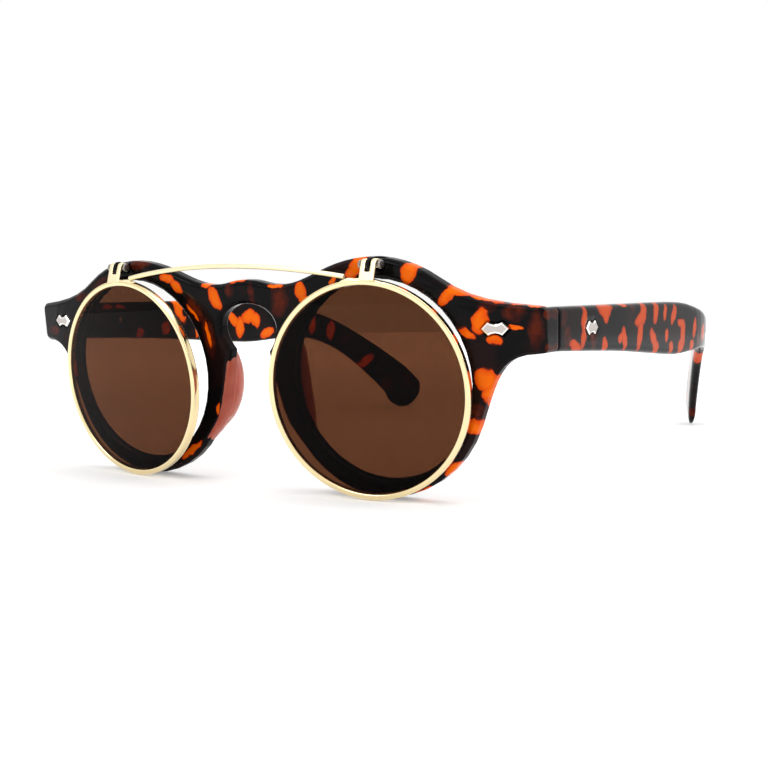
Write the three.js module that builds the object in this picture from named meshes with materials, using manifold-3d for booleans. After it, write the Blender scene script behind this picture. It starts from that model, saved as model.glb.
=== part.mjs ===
// Round flip-up sunglasses: a keyhole plastic front with clear lenses and folding temples,
// and a wire flip-up with two tinted lenses hinged on the brow.
// Millimetres. +X is the wearer's left, +Y runs from the front back to the ears, +Z is up.
import * as THREE from 'three';
import { TessellateModifier } from 'three/addons/modifiers/TessellateModifier.js';
import { mergeVertices } from 'three/addons/utils/BufferGeometryUtils.js';
import Module from 'manifold-3d';

// Gaps between pieces
const seatGap = 0.3;
const pinGap = 0.2;
const weldDistance = 1e-4;

// Flip-up lenses and their wire rims
const lensDiameter = 44;
const lensThickness = 1.2;
const lensDomeRadius = 300;
const lensBevel = 0.4;
const lensMiddleRing = 0.6;
const flipWrap = 7;
const flipSetback = 0.6;
const rimWire = 1.2;
const rimDepth = 1.8;
const rimChamfer = 0.3;
const rimGroove = 0.5;

// Plastic front
const bridgeWidth = 17.6;
const rimWall = 2.4;
const rimRise = 0.6;
const openingRise = 1.4;
const openingShift = 0.8;
const openingInset = 0.6;
const openingBevelWidth = 0.7;
const openingBevelDepth = 0.6;
const lipLand = 0.3;
const backFlare = 1.1;
const lensSeat = 0.6;
const frontThickness = 3.8;
const frontSetback = 4;
const frontTilt = 5.06;
const edgeRound = 0.8;
const endpieceSweep = 4.9;
const sweepPower = 4.5;
const browHeight = 2.4;
const browInner = 98;
const browOuter = 56;
const browEase = 9;
const endpieceReach = 12.9;
const endpieceTop = 16.7;
const endpieceHeight = 9.4;
const endpieceCorner = 1.5;
const endpieceStep = 0.15;
const endpieceReturn = 6.3;
const endpieceEase = 10;
const endpieceBlock = 13;
const bridgeTop = 22.8;
const valleyX = 9.4;
const valleyZ = 21.7;
const keyholeTop = 17.5;
const keyholeHeight = 5.3;
const keyholeWidth = 15.6;
const neckWidth = 10.8;
const neckZ = 6.8;
const noseSideBulge = 2;
const rimArcStart = -20;
const rimArcEnd = -145;
const rimArcEase = 15;

// Nose pads
const padStart = 158;
const padEnd = 213;
const padWidth = 4.2;
const padHeight = 5.4;
const padLean = 0.2;
const padOffset = 0.4;
const padBlunt = 0.2;

// Temples
const templeThickness = 4;
const templeTipThickness = 2.4;
const templeHeight = 9.1;
const templeEdge = 1.1;
const templeBend = 85;
const templeBendLength = 24;
const templeInward = 22.3;
const tipThinnest = 0.35;
const tipEnd = 0.12;

// Temple hinges
const barrelRadius = 1.5;
const barrelLength = 1.9;
const screwRadius = 0.6;
const screwHeadRadius = 1.1;
const screwHeadHeight = 0.7;
const leafThickness = 0.9;
const frontLeafLength = 5;
const templeLeafLength = 21;
const templeLeafHeight = 5.3;

// Rivets
const plaqueLength = 6;
const plaqueHeight = 2.9;
const plaqueWaist = 0.5;
const plaqueSunk = 0.5;
const plaqueProud = 0.35;
const postRadius = 0.6;
const frontRivetInset = 9.7;
const frontRivetRise = 0.6;
const templeRivetAlong = 16.5;
const templeRivetDrop = 0.4;

// Flip-up hinge and bridge wire
const saddleThickness = 0.65;
const saddleDepth = 1.5;
const saddleHalfAngle = 11;
const lugLength = 1.8;
const strapOffset = 1.9;
const strapThickness = 1;
const strapFootHeight = 0.4;
const strapShoulder = 1;
const strapArcStart = -115;
const strapArcEnd = 140;
const tongueArcStart = -40;
const tongueArcEnd = -320;
const prongWidth = 1.2;
const tongueWidth = 0.7;
const knuckleRadius = 1.6;
const knuckleRise = 1.6;
const flipPinRadius = 0.5;
const flipPinHeadRadius = 0.95;
const flipPinHead = 0.5;
const anchorWidth = 2.4;
const anchorHeight = 1.8;
const anchorDepth = 2;
const wireRadius = 0.7;
const wireRise = 2.7;
const wireBow = 2.5;

// How finely round forms are divided
const lensSides = 40;
const pinSides = 12;
const wireSides = 8;
const wireSteps = 18;
const frontEdgeLength = 12;
const frontPasses = 8;
const bendSteps = 5;
const arcSteps = 7;
const plaqueSteps = 4;
const pinArcSteps = 8;

// Values worked out from the sizes above
const rad = THREE.MathUtils.degToRad;
const lensRadius = lensDiameter / 2;
const rimOuter = lensRadius + rimWire;
const outerRadius = lensRadius + rimWall;
const openingX = bridgeWidth / 2 + outerRadius;
const halfWidth = openingX + outerRadius + endpieceReach;
const flipX = openingX + seatGap;
const endpieceBottom = endpieceTop - endpieceHeight;
const endpieceMiddle = endpieceTop - endpieceHeight / 2;
const tiltSin = Math.sin(rad(frontTilt));
const tiltCos = Math.cos(rad(frontTilt));
const sweep = (x) => endpieceSweep * Math.pow(Math.abs(x) / halfWidth, sweepPower);
const faceDepth = (x) => frontSetback + sweep(x);
const backDepth = (x) => faceDepth(x) + frontThickness;

// Temple hinge places, in the upright frame
const hingeZ = (frontSetback + endpieceSweep) * tiltSin + endpieceMiddle * tiltCos;
const cornerY = (frontSetback + endpieceSweep) * tiltCos - endpieceMiddle * tiltSin;
const jointY = cornerY + endpieceReturn;
const templeInnerX = halfWidth - templeThickness;
const hingeX = templeInnerX - seatGap - barrelRadius;
const hingeY = jointY + seatGap / 2;
const templeStart = jointY + seatGap;
const leafSeatY = hingeY - barrelRadius - seatGap;
const barrelPitch = barrelLength + seatGap;
const hingeHalf = 1.5 * barrelPitch;

// Flip hinge places, in the front's leaning frame
const saddleInner = rimOuter + seatGap;
const saddleOuter = saddleInner + saddleThickness;
const strapFoot = saddleOuter + seatGap;
const pinY = frontSetback - seatGap - knuckleRadius;
const pinZ = strapFoot + knuckleRise;
const strapX = flipX + strapOffset;
const slotWidth = tongueWidth + 2 * seatGap;
const strapWidth = slotWidth + 2 * prongWidth;

const wasm = await Module();
wasm.setup();

// Turns a closed geometry into a solid that can be joined and cut
function solid(geometry) {
  const bare = geometry.clone();
  bare.deleteAttribute('normal');
  bare.deleteAttribute('uv');
  const merged = mergeVertices(bare, weldDistance);
  const vertProperties = new Float32Array(merged.attributes.position.array);
  const triVerts = new Uint32Array(merged.index.array);
  return new wasm.Manifold(new wasm.Mesh({ numProp: 3, vertProperties, triVerts }));
}

// Turns a solid back into a geometry
function geometryOf(body) {
  const mesh = body.getMesh();
  const geometry = new THREE.BufferGeometry();
  geometry.setAttribute('position', new THREE.BufferAttribute(mesh.vertProperties, 3));
  geometry.setIndex(new THREE.BufferAttribute(mesh.triVerts, 1));
  geometry.computeVertexNormals();
  return geometry;
}

// Reverses the faces of an indexed geometry
function reversed(geometry) {
  const index = geometry.index;
  for (let i = 0; i < index.count; i += 3) {
    const first = index.getX(i);
    index.setX(i, index.getX(i + 2));
    index.setX(i + 2, first);
  }
  return geometry;
}

// The right-hand copy of a left-hand geometry
function mirrored(geometry) {
  const bare = geometry.clone();
  bare.deleteAttribute('normal');
  bare.deleteAttribute('uv');
  const copy = mergeVertices(bare, weldDistance);
  copy.scale(-1, 1, 1);
  reversed(copy);
  copy.computeVertexNormals();
  return copy;
}

// A closed skin over a row of rings that have the same number of points
function loft(rings) {
  const points = rings.flat();
  const size = rings[0].length;
  const index = [];
  for (let r = 0; r + 1 < rings.length; r += 1) {
    for (let p = 0; p < size; p += 1) {
      const a = r * size + p;
      const b = r * size + ((p + 1) % size);
      index.push(a, b, a + size, b, b + size, a + size);
    }
  }
  const last = (rings.length - 1) * size;
  for (let p = 1; p + 1 < size; p += 1) {
    index.push(0, p + 1, p, last, last + p, last + p + 1);
  }
  const geometry = new THREE.BufferGeometry().setFromPoints(points);
  geometry.setIndex(index);
  geometry.computeVertexNormals();
  return solid(geometry).volume() < 0 ? reversed(geometry) : geometry;
}

// A box given by its lowest and highest corners
function boxBetween(low, high) {
  const size = high.map((value, axis) => value - low[axis]);
  const middle = high.map((value, axis) => (value + low[axis]) / 2);
  return new THREE.BoxGeometry(...size).translate(...middle);
}

// A round bar between two places on one axis
function bar(radius, axis, from, to) {
  const length = to - from;
  const geometry = new THREE.CylinderGeometry(radius, radius, length, pinSides);
  geometry.translate(0, length / 2 + from, 0);
  if (axis === 'x') geometry.rotateZ(-Math.PI / 2);
  if (axis === 'z') geometry.rotateX(Math.PI / 2);
  return geometry;
}

// A flat shape drawn in X and Z, given depth along Y
function prismXZ(shape, front, back) {
  const geometry = new THREE.ExtrudeGeometry(shape, { depth: back - front, bevelEnabled: false });
  return geometry.rotateX(Math.PI / 2).translate(0, back, 0);
}

// A flat shape drawn in Y and Z, given width along X
function prismYZ(shape, from, to) {
  const geometry = new THREE.ExtrudeGeometry(shape, { depth: to - from, bevelEnabled: false });
  return geometry.rotateY(Math.PI / 2).rotateX(Math.PI / 2).translate(from, 0, 0);
}

// A point of the leaning front's frame from one of the upright frame, and the reverse
const leanBack = new THREE.Matrix4().makeRotationX(-rad(frontTilt));
const leanFront = new THREE.Matrix4().makeRotationX(rad(frontTilt));

function polar(degrees, radius) {
  const angle = rad(degrees);
  return new THREE.Vector2(openingX + radius * Math.cos(angle), rimRise + radius * Math.sin(angle));
}

// The way the circle round the lens runs at an angle, toward the temple over the brow
function polarSlope(degrees) {
  const angle = rad(degrees);
  return new THREE.Vector2(Math.sin(angle), -Math.cos(angle));
}

// Outline of the front: brow, endpiece, round rim, nose side and half the keyhole
function frontOutline() {
  const browRadius = outerRadius + browHeight;
  const bridge = new THREE.CubicBezierCurve(
    new THREE.Vector2(0, bridgeTop),
    new THREE.Vector2(valleyX / 2, bridgeTop),
    new THREE.Vector2(valleyX / 2, valleyZ),
    new THREE.Vector2(valleyX, valleyZ),
  );
  const browFoot = polar(browInner, browRadius);
  const valley = new THREE.CubicBezierCurve(
    new THREE.Vector2(valleyX, valleyZ),
    new THREE.Vector2((2 * valleyX + browFoot.x) / 3, valleyZ),
    browFoot.clone().add(polarSlope(browInner).multiplyScalar(-browEase)),
    browFoot,
  );
  const brow = new THREE.EllipseCurve(
    openingX, rimRise, browRadius, browRadius, rad(browInner), rad(browOuter), true, 0,
  );
  const browTail = polar(browOuter, browRadius);
  const endTop = new THREE.Vector2(halfWidth - endpieceStep - endpieceCorner, endpieceTop);
  const shoulder = new THREE.CubicBezierCurve(
    browTail,
    browTail.clone().add(polarSlope(browOuter).multiplyScalar(endpieceReach / 2)),
    new THREE.Vector2(halfWidth - endpieceReach, endpieceTop + browHeight / 2),
    endTop,
  );
  const corners = new THREE.Path();
  corners.absarc(endTop.x, endTop.y - endpieceCorner, endpieceCorner, Math.PI / 2, 0, true);
  corners.absarc(endTop.x, endpieceBottom + endpieceCorner, endpieceCorner, 0, -Math.PI / 2, true);
  const rimJoin = polar(rimArcStart, outerRadius);
  const underside = new THREE.CubicBezierCurve(
    new THREE.Vector2(endTop.x, endpieceBottom),
    new THREE.Vector2(halfWidth - endpieceEase, endpieceBottom),
    rimJoin.clone().add(polarSlope(rimArcStart).multiplyScalar(-endpieceEase)),
    rimJoin,
  );
  const rim = new THREE.EllipseCurve(
    openingX, rimRise, outerRadius, outerRadius, rad(rimArcStart), rad(rimArcEnd), true, 0,
  );
  const neck = new THREE.Vector2(neckWidth / 2, neckZ);
  const noseSide = new THREE.SplineCurve([
    polar(rimArcEnd, outerRadius),
    polar(rimArcEnd - rimArcEase, outerRadius + noseSideBulge / 2),
    polar(-180, outerRadius + noseSideBulge),
    neck,
  ]);
  const shoulderZ = keyholeTop - keyholeHeight;
  const neckSide = new THREE.QuadraticBezierCurve(
    neck,
    new THREE.Vector2(keyholeWidth / 2, (neckZ + shoulderZ) / 2),
    new THREE.Vector2(keyholeWidth / 2, shoulderZ),
  );
  const arch = new THREE.EllipseCurve(
    0, shoulderZ, keyholeWidth / 2, keyholeHeight, 0, Math.PI / 2, false, 0,
  );
  return [
    ...bridge.getPoints(bendSteps),
    ...valley.getPoints(2 * bendSteps).slice(1),
    ...brow.getPoints(arcSteps).slice(1),
    ...shoulder.getPoints(bendSteps).slice(1),
    ...corners.getPoints(2).slice(1),
    ...underside.getPoints(2 * bendSteps).slice(1),
    ...rim.getPoints(2 * arcSteps).slice(1),
    ...noseSide.getPoints(arcSteps).slice(1),
    ...neckSide.getPoints(bendSteps).slice(1),
    ...arch.getPoints(arcSteps).slice(1),
  ];
}

// A plate with rounded edges whose face lies under the front's face and whose ends are swept back
function sweptPlate(outline, under, thickness, round) {
  const flat = new THREE.ExtrudeGeometry(outline, {
    depth: thickness - 2 * round,
    bevelEnabled: round > 0,
    bevelThickness: round,
    bevelSize: round,
    bevelOffset: -round,
    bevelSegments: 1,
  });
  flat.rotateX(Math.PI / 2).translate(0, frontSetback + under + thickness - round, 0);
  const plate = new TessellateModifier(frontEdgeLength, frontPasses).modify(flat);
  const places = plate.attributes.position;
  for (let i = 0; i < places.count; i += 1) {
    places.setY(i, places.getY(i) + sweep(places.getX(i)));
  }
  return plate;
}

// The front before it is cut
function platePiece() {
  const half = frontOutline();
  const other = half.slice(1, -1).reverse().map((point) => new THREE.Vector2(-point.x, point.y));
  return sweptPlate(new THREE.Shape([...half, ...other]), 0, frontThickness, edgeRound);
}

// The thick part of the endpiece that turns back to the temple, as tall as the temple
function endpieceBlockPiece() {
  const far = 2 * halfWidth;
  const inner = halfWidth - endpieceBlock;
  const plain = new THREE.Shape();
  plain.moveTo(inner, endpieceBottom - templeHeight / 2);
  plain.lineTo(far, endpieceBottom - templeHeight / 2);
  plain.lineTo(far, endpieceTop + templeHeight / 2);
  plain.lineTo(inner, endpieceTop + templeHeight / 2);
  plain.closePath();
  const swept = solid(sweptPlate(plain, edgeRound, outerRadius, 0));
  const low = hingeZ - templeHeight / 2;
  const high = hingeZ + templeHeight / 2;
  const rounded = new THREE.Shape();
  rounded.moveTo(inner - seatGap, low);
  rounded.absarc(halfWidth - templeEdge, low + templeEdge, templeEdge, -Math.PI / 2, 0, false);
  rounded.absarc(halfWidth - templeEdge, high - templeEdge, templeEdge, 0, Math.PI / 2, false);
  rounded.lineTo(inner - seatGap, high);
  rounded.closePath();
  const bar = solid(prismXZ(rounded, 0, far).applyMatrix4(leanBack));
  return geometryOf(swept.intersect(bar));
}

// The clear lens lies in a groove that follows the plate's mean slope across the opening
const openingRadius = lensRadius - openingInset;
const clearX = openingX + openingShift;
const outerDepth = faceDepth(clearX + openingRadius);
const innerDepth = faceDepth(clearX - openingRadius);
const openingSlope = (outerDepth - innerDepth) / (2 * openingRadius);
const clearWrap = Math.atan(openingSlope);
const openingFace = (outerDepth + innerDepth + 2 * faceDepth(clearX)) / 4;
const clearLensY = openingFace + openingBevelDepth + lipLand + seatGap;
const clearLensRadius = openingRadius + lensSeat;

// What the lens opening and its groove take out of the front
function openingCutter() {
  const front = -outerRadius;
  const back = outerRadius;
  const bevelEnd = -seatGap - lipLand;
  const backLip = lensThickness + seatGap;
  const bevelSlope = openingBevelWidth / openingBevelDepth;
  const profile = [
    new THREE.Vector2(0, front),
    new THREE.Vector2(openingRadius + (bevelEnd - front) * bevelSlope, front),
    new THREE.Vector2(openingRadius, bevelEnd),
    new THREE.Vector2(openingRadius, -seatGap),
    new THREE.Vector2(clearLensRadius + seatGap, -seatGap),
    new THREE.Vector2(clearLensRadius + seatGap, backLip),
    new THREE.Vector2(openingRadius, backLip),
    new THREE.Vector2(openingRadius, backLip + lipLand),
    new THREE.Vector2(openingRadius + (back - backLip - lipLand) * backFlare, back),
    new THREE.Vector2(0, back),
  ];
  const geometry = new THREE.LatheGeometry(profile, lensSides);
  return geometry.rotateZ(clearWrap).translate(clearX, clearLensY, openingRise);
}

// A domed lens whose edge runs from 0 to its thickness
function lensGeometry(edge) {
  const rim = edge[0].x;
  const dome = (r) => (rim * rim - r * r) / (2 * lensDomeRadius);
  const radii = [0, rim * lensMiddleRing];
  const front = radii.map((r) => new THREE.Vector2(r, -dome(r)));
  const back = radii.map((r) => new THREE.Vector2(r, lensThickness - dome(r)));
  return new THREE.LatheGeometry([...front, ...edge, ...back.reverse()], lensSides);
}

// Rivet plaque: pointed ends with hollow long sides
function plaqueShape(grow) {
  const end = plaqueLength / 2 + grow;
  const shoulder = plaqueLength / 4 + grow / 2;
  const high = plaqueHeight / 2 + grow;
  const waist = high - 2 * plaqueWaist;
  const shape = new THREE.Shape();
  shape.moveTo(-end, 0);
  shape.lineTo(-shoulder, -high);
  shape.quadraticCurveTo(0, -waist, shoulder, -high);
  shape.lineTo(end, 0);
  shape.lineTo(shoulder, high);
  shape.quadraticCurveTo(0, waist, -shoulder, high);
  shape.closePath();
  return shape;
}

// A rivet lying along X that points its plaque at -Y, grown where it serves as a cutter
function rivetGeometry(length, grow) {
  const shape = plaqueShape(grow);
  const geometry = new THREE.ExtrudeGeometry(shape, {
    depth: plaqueSunk + plaqueProud + grow, bevelEnabled: false, curveSegments: plaqueSteps,
  });
  const plaque = solid(geometry.rotateX(Math.PI / 2).translate(0, plaqueSunk + grow, 0));
  const post = solid(bar(postRadius + grow, 'y', 0, length + grow));
  return geometryOf(plaque.add(post));
}

// Front rivet place: on the swept face, square to it
const frontRivetX = halfWidth - frontRivetInset;
const frontRivetZ = endpieceMiddle + frontRivetRise;
const frontRivetSlope = sweepPower * sweep(frontRivetX) / frontRivetX;

function placeFrontRivet(geometry) {
  const turned = geometry.rotateZ(Math.atan(frontRivetSlope));
  return turned.translate(frontRivetX, faceDepth(frontRivetX), frontRivetZ);
}

// The front rivet's post ends inside the hinge leaf
const faceUpright = faceDepth(frontRivetX) * tiltCos - endpieceMiddle * tiltSin;
const frontPost = leafSeatY + seatGap + leafThickness / 2 - faceUpright;

// Front: the swept plate with endpiece blocks, lens openings, hinge seats and rivet holes
function frontGeometry() {
  let front = solid(platePiece());
  const far = 2 * halfWidth;
  for (const side of [1, -1]) {
    const place = (geometry) => solid(side > 0 ? geometry : mirrored(geometry));
    front = front.add(place(endpieceBlockPiece()));
    const behindLeaf = boxBetween([0, leafSeatY, -far], [templeInnerX, far, far]).applyMatrix4(leanBack);
    const behindJoint = boxBetween([0, jointY, -far], [far, far, far]).applyMatrix4(leanBack);
    front = front.subtract(place(behindLeaf));
    front = front.subtract(place(behindJoint));
    front = front.subtract(place(openingCutter()));
    front = front.subtract(place(placeFrontRivet(rivetGeometry(frontPost + seatGap, seatGap))));
    front = front.subtract(place(anchorGeometry(seatGap)));
  }
  return geometryOf(front);
}

// Nose pad: a bean that follows the round rim on the back of the front
function padGeometry() {
  const stations = 14;
  const arcPoints = 9;
  const middleRadius = lensRadius + rimWall / 2 + padOffset;
  const rings = [];
  for (let s = 0; s <= stations; s += 1) {
    const t = 2 * s / stations - 1;
    const angle = rad(padStart + (padEnd - padStart) * s / stations);
    const full = Math.max(Math.sqrt(1 - t * t), padBlunt);
    const ring = [];
    for (let p = 0; p < arcPoints; p += 1) {
      const turn = Math.PI * p / (arcPoints - 1);
      const across = full * (Math.cos(turn) * padWidth / 2 - Math.sin(turn) * padLean);
      const radius = middleRadius + across;
      const base = backDepth(openingX - middleRadius) + seatGap;
      ring.push(new THREE.Vector3(
        openingX + radius * Math.cos(angle),
        base + full * padHeight * Math.sin(turn),
        rimRise + radius * Math.sin(angle),
      ));
    }
    rings.push(ring);
  }
  return loft(rings);
}

// Top and bottom edge of the straight temple from the side: distance behind the joint, height over the hinge
const straightEdges = [
  { top: [0, templeHeight / 2], bottom: [0, -templeHeight / 2] },
  { top: [templeBend * 0.41, 4.1], bottom: [templeBend * 0.41, -6.6] },
  { top: [templeBend * 0.85, 3.5], bottom: [templeBend * 0.82, -9.6] },
];

// The same edges over the ear, counted from the bend
const earEdges = [
  { top: [2, 1.9], bottom: [-2, -9.7] },
  { top: [16, -0.6], bottom: [10, -9.5] },
  { top: [24.5, -3], bottom: [20, -10.6] },
  { top: [34, -7.8], bottom: [29, -14.6] },
  { top: [45, -14.6], bottom: [37, -20.6] },
  { top: [55.5, -22], bottom: [44, -27] },
  { top: [61, -27.3], bottom: [47.6, -30.6] },
];

// The glasses stand on the lowest edge of the round rims, and the temple tips reach the same level
const floorZ = faceDepth(openingX) * tiltSin - (outerRadius - rimRise) * tiltCos;

// How far the temple has turned in toward the head
function inward(along) {
  const slope = Math.tan(rad(templeInward));
  const past = Math.max(along - templeBend, 0);
  const bent = Math.min(past, templeBendLength);
  return slope * (bent * bent / (2 * templeBendLength) + past - bent);
}

// Section of the temple: a rounded bar between a top and a bottom point, scaled about its middle
function templeRing(top, bottom, scale, thickness) {
  const middle = top.clone().add(bottom).multiplyScalar(0.5);
  const half = top.clone().sub(bottom).multiplyScalar(0.5);
  const tall = half.length();
  const across = thickness / 2;
  const edge = Math.min(templeEdge, across);
  const ring = [];
  for (let quarter = 0; quarter < 4; quarter += 1) {
    const sideX = quarter === 0 || quarter === 3 ? 1 : -1;
    const sideZ = quarter < 2 ? 1 : -1;
    for (let step = 0; step <= 2; step += 1) {
      const turn = (quarter + step / 2) * Math.PI / 2;
      const x = sideX * (across - edge) + edge * Math.cos(turn);
      const up = (sideZ * (tall - edge) + edge * Math.sin(turn)) / tall;
      const along = middle.x + half.x * up * scale;
      const height = middle.y + half.y * up * scale;
      const core = halfWidth - across - inward(along);
      const thick = Math.max(scale, tipThinnest);
      ring.push(new THREE.Vector3(core + x * thick, templeStart + along, hingeZ + height));
    }
  }
  return ring;
}

// Temple: a straight tapered bar that bends in and down to a round tip
function templeGeometry() {
  const straight = (edge) => straightEdges.map((pair) => new THREE.Vector2(...pair[edge]));
  const ear = (edge) => earEdges.map((pair) => new THREE.Vector2(templeBend + pair[edge][0], pair[edge][1]));
  const points = (edge) => [...straight(edge), ...ear(edge)];
  const topEdge = new THREE.SplineCurve(points('top'));
  const bottomEdge = new THREE.SplineCurve(points('bottom'));
  const stations = 30;
  const rings = [];
  for (let s = 0; s <= stations; s += 1) {
    const u = s / stations;
    const thickness = THREE.MathUtils.lerp(templeThickness, templeTipThickness, u);
    rings.push(templeRing(topEdge.getPoint(u), bottomEdge.getPoint(u), 1, thickness));
  }
  const top = topEdge.getPoint(1);
  const bottom = bottomEdge.getPoint(1);
  const half = top.clone().sub(bottom).multiplyScalar(0.5);
  const onward = new THREE.Vector2(half.y, -half.x).normalize();
  const drop = hingeZ + (top.y + bottom.y) / 2 - floorZ;
  const tipLength = Math.sqrt(drop * drop - half.y * half.y) / -onward.y;
  const tipSteps = 5;
  for (let s = 1; s <= tipSteps; s += 1) {
    const turn = s / tipSteps * Math.PI / 2;
    const shift = onward.clone().multiplyScalar(tipLength * Math.sin(turn));
    const scale = Math.max(Math.cos(turn), tipEnd);
    rings.push(templeRing(top.clone().add(shift), bottom.clone().add(shift), scale, templeTipThickness));
  }
  return loft(rings);
}

// The temple rivet stands on the outer face and points its plaque at +X
const templeRivetZ = hingeZ - templeRivetDrop;
const templePost = templeThickness + seatGap + leafThickness / 2;

function placeTempleRivet(geometry) {
  return geometry.rotateZ(Math.PI / 2).translate(halfWidth, templeStart + templeRivetAlong, templeRivetZ);
}

function drilledTemple() {
  const cutter = solid(placeTempleRivet(rivetGeometry(templePost + seatGap, seatGap)));
  return geometryOf(solid(templeGeometry()).subtract(cutter));
}

// One barrel of the temple hinge, counted from the middle
function barrel(place) {
  const low = hingeZ + place * barrelPitch - barrelLength / 2;
  const geometry = bar(barrelRadius, 'z', low, low + barrelLength);
  return solid(geometry.translate(hingeX, hingeY, 0));
}

function screwBore() {
  const geometry = bar(screwRadius + pinGap, 'z', hingeZ - 2 * barrelPitch, hingeZ + 2 * barrelPitch);
  return solid(geometry.translate(hingeX, hingeY, 0));
}

// Front leaf: a plate on the back of the endpiece with the two outer barrels
function frontLeafGeometry() {
  const low = leafSeatY + seatGap;
  const clear = hingeX - barrelRadius - seatGap;
  let leaf = solid(boxBetween(
    [clear - frontLeafLength, low, hingeZ - hingeHalf], [clear, low + leafThickness, hingeZ + hingeHalf],
  ));
  for (const place of [-1, 1]) {
    const foot = hingeZ + place * barrelPitch - barrelLength / 2;
    leaf = leaf.add(solid(boxBetween(
      [clear - leafThickness, low, foot], [hingeX, low + leafThickness, foot + barrelLength],
    )));
    leaf = leaf.add(barrel(place));
  }
  leaf = leaf.subtract(screwBore());
  const post = placeFrontRivet(rivetGeometry(frontPost + seatGap, seatGap)).applyMatrix4(leanFront);
  return geometryOf(leaf.subtract(solid(post)));
}

// Temple leaf: a plate on the inner face of the temple with the middle barrel
function templeLeafGeometry() {
  const inner = templeInnerX - seatGap - leafThickness;
  const clear = hingeY + barrelRadius + seatGap;
  const low = hingeZ - templeLeafHeight / 2;
  const plate = solid(boxBetween(
    [inner, clear, low], [inner + leafThickness, clear + templeLeafLength, low + templeLeafHeight],
  ));
  const foot = hingeZ - barrelLength / 2;
  const arm = solid(boxBetween(
    [inner, hingeY, foot], [inner + leafThickness, clear + leafThickness, foot + barrelLength],
  ));
  const leaf = plate.add(arm).add(barrel(0)).subtract(screwBore());
  const post = solid(placeTempleRivet(rivetGeometry(templePost + seatGap, seatGap)));
  return geometryOf(leaf.subtract(post));
}

// Screw through the three barrels, with its head on top
function screwGeometry() {
  const top = hingeZ + hingeHalf;
  const shank = solid(bar(screwRadius, 'z', hingeZ - hingeHalf, top + screwHeadHeight / 2));
  const head = solid(bar(screwHeadRadius, 'z', top, top + screwHeadHeight));
  return geometryOf(shank.add(head)).translate(hingeX, hingeY, 0);
}

// Wire rim: a round band with a groove inside that holds the lens
function rimGeometry() {
  const half = rimDepth / 2;
  const lip = rimGroove + seatGap / 2;
  const profile = [
    new THREE.Vector2(lensRadius, -half),
    new THREE.Vector2(rimOuter - rimChamfer, -half),
    new THREE.Vector2(rimOuter, rimChamfer - half),
    new THREE.Vector2(rimOuter, half - rimChamfer),
    new THREE.Vector2(rimOuter - rimChamfer, half),
    new THREE.Vector2(lensRadius, half),
    new THREE.Vector2(lensRadius, lip),
    new THREE.Vector2(lensRadius + rimGroove, 0),
    new THREE.Vector2(lensRadius, -lip),
    new THREE.Vector2(lensRadius, -half),
  ];
  return new THREE.LatheGeometry(profile, lensSides);
}

// Tinted lens with a pointed edge that sits in the rim's groove
function flipLensGeometry() {
  const body = lensRadius - seatGap;
  const tip = body + lensBevel;
  const edge = [
    new THREE.Vector2(body, 0),
    new THREE.Vector2(body, lensThickness / 2 - lensBevel),
    new THREE.Vector2(tip, lensThickness / 2),
    new THREE.Vector2(body, lensThickness / 2 + lensBevel),
    new THREE.Vector2(body, lensThickness),
  ];
  return lensGeometry(edge).translate(0, -lensThickness / 2, 0);
}

// Clear lens with a plain edge
function clearLensGeometry() {
  const edge = [
    new THREE.Vector2(clearLensRadius, 0),
    new THREE.Vector2(clearLensRadius, lensThickness),
  ];
  return lensGeometry(edge).rotateZ(clearWrap).translate(clearX, clearLensY, openingRise);
}

// Saddle: a curved plate on top of the rim with a lug that takes the bridge wire
function saddleGeometry() {
  const half = rad(saddleHalfAngle);
  const shape = new THREE.Shape();
  shape.absarc(0, 0, saddleOuter, Math.PI / 2 + half, Math.PI / 2 - half, true);
  shape.absarc(0, 0, saddleInner, Math.PI / 2 - half, Math.PI / 2 + half, false);
  shape.closePath();
  const plate = solid(prismXZ(shape, -saddleDepth / 2, saddleDepth / 2));
  const end = -saddleOuter * Math.sin(half);
  const foot = saddleOuter * Math.cos(half) - saddleThickness;
  const lug = solid(boxBetween(
    [end, -saddleDepth / 2, foot], [end + lugLength, saddleDepth / 2, foot + 2 * wireRadius],
  ));
  return geometryOf(plate.add(lug));
}

// The eye of the flip hinge with a tail, drawn in Y and Z round the pin
function eyeShape(tail) {
  const shape = new THREE.Shape();
  shape.setFromPoints(tail);
  const bore = new THREE.Path();
  bore.absarc(pinY, pinZ, flipPinRadius + pinGap, 0, 2 * Math.PI, true);
  shape.holes.push(bore);
  return shape;
}

// Points of an arc round the flip pin
function pinArc(radius, from, to) {
  const curve = new THREE.EllipseCurve(pinY, pinZ, radius, radius, rad(from), rad(to), from > to, 0);
  return curve.getPoints(pinArcSteps);
}

// Strap: a foot on the saddle that rises into two prongs with eyes
function strapGeometry() {
  const front = flipSetback - strapThickness / 2;
  const back = flipSetback + strapThickness / 2;
  const prong = eyeShape([
    new THREE.Vector2(back, strapFoot),
    ...pinArc(knuckleRadius, strapArcStart, strapArcEnd),
    new THREE.Vector2(front, strapFoot + strapShoulder),
    new THREE.Vector2(front, strapFoot),
  ]);
  const left = strapX - strapWidth / 2;
  const right = strapX + strapWidth / 2;
  const foot = solid(boxBetween([left, front, strapFoot], [right, back, strapFoot + strapFootHeight]));
  const inner = solid(prismYZ(prong, left, left + prongWidth));
  const outer = solid(prismYZ(prong, right - prongWidth, right));
  return geometryOf(foot.add(inner).add(outer));
}

// The block of the flip hinge that is let into the brow
function anchorGeometry(grow) {
  const face = faceDepth(strapX);
  return boxBetween(
    [strapX - anchorWidth / 2 - grow, face - grow, pinZ - anchorHeight / 2 - grow],
    [strapX + anchorWidth / 2 + grow, face + anchorDepth + grow, pinZ + anchorHeight / 2 + grow],
  );
}

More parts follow.
